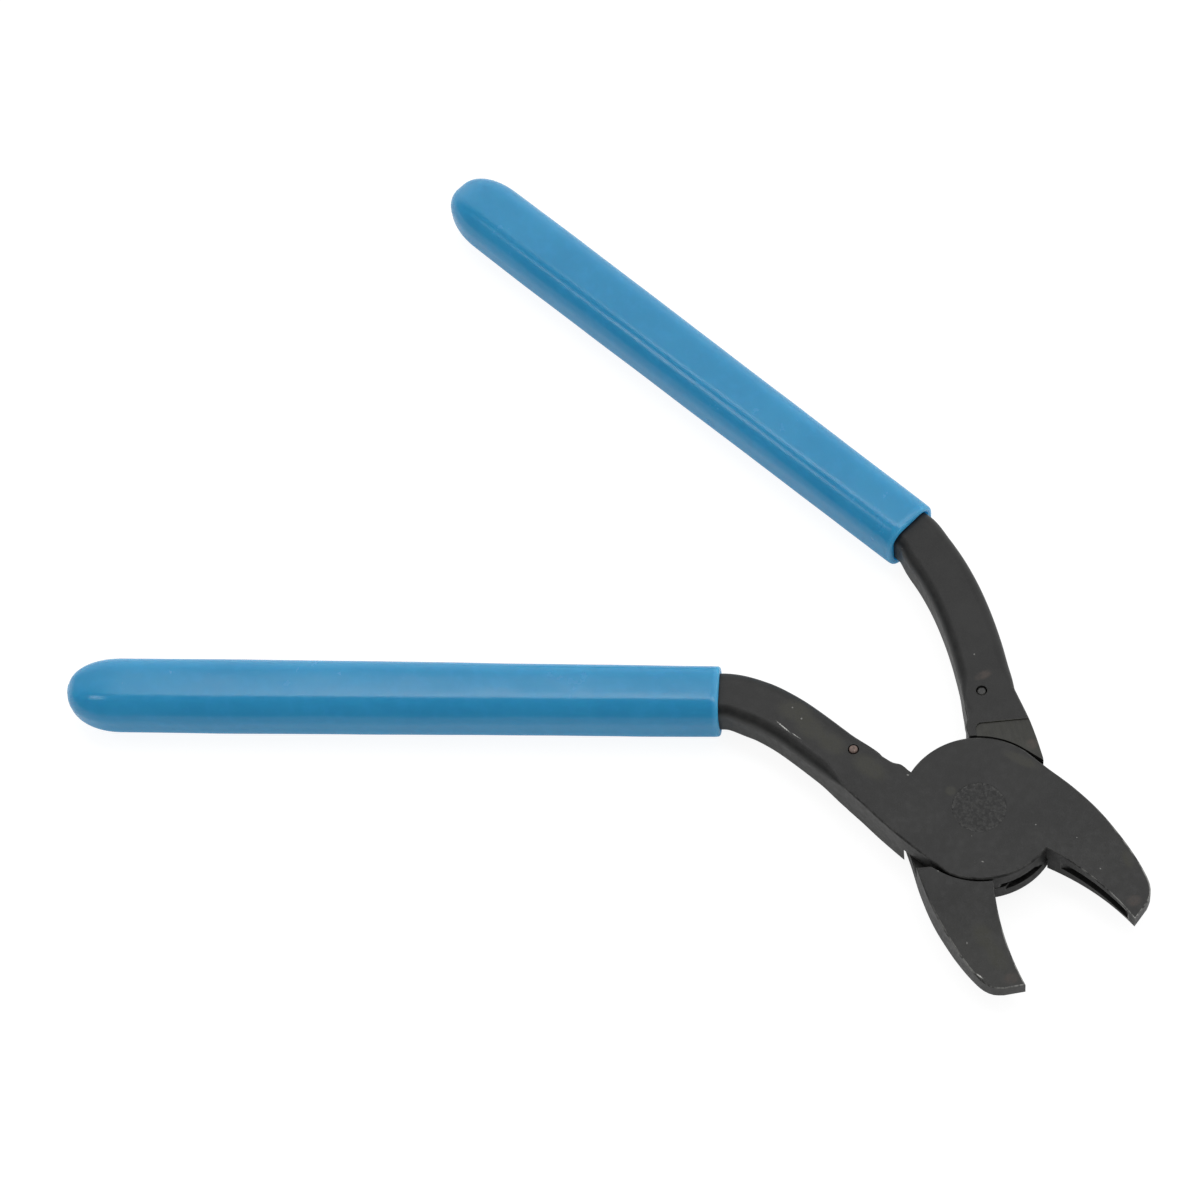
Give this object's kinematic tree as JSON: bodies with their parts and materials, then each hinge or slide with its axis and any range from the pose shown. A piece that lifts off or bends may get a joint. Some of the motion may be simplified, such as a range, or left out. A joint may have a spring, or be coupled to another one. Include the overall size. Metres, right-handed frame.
{
  "type": "angled-head lap-joint pliers",
  "caption": "Hand pliers with an angled riveted lap joint, short blunt grooved jaws and dipped vinyl grips on bent handles.",
  "frame": {"origin": "on the pivot axis, at the head's underside (the rivet's rear end face)", "axes": "+Z along the pivot axis out of the head's front face; +X from the pivot along the front jaw's gripping line towards its tip; the handles point towards -X"},
  "size_m": [0.2391, 0.1661, 0.0133],
  "materials": {
    "black_oxide_steel": "forged and ground steel with a satin black oxide",
    "rivet_steel": "steel rivet, peened and blackened with the levers",
    "pin_steel": "small steel pin, blackened, with a trace of rust",
    "blue_vinyl": "glossy dipped vinyl, sky blue"
  },
  "bodies": {
    "front_half": {"front_lever": "black_oxide_steel", "front_grip": "blue_vinyl", "pivot_rivet": "rivet_steel", "front_pin": "pin_steel"},
    "rear_half": {"rear_lever": "black_oxide_steel", "rear_grip": "blue_vinyl", "rear_pin": "pin_steel"}
  },
  "joints": [
    {"name": "pivot", "type": "hinge", "parent": "front_half", "child": "rear_half", "pos_m": [0, 0, 0.00515], "axis": [0, 0, 1], "range_deg": [-9, 39]}
  ]
}
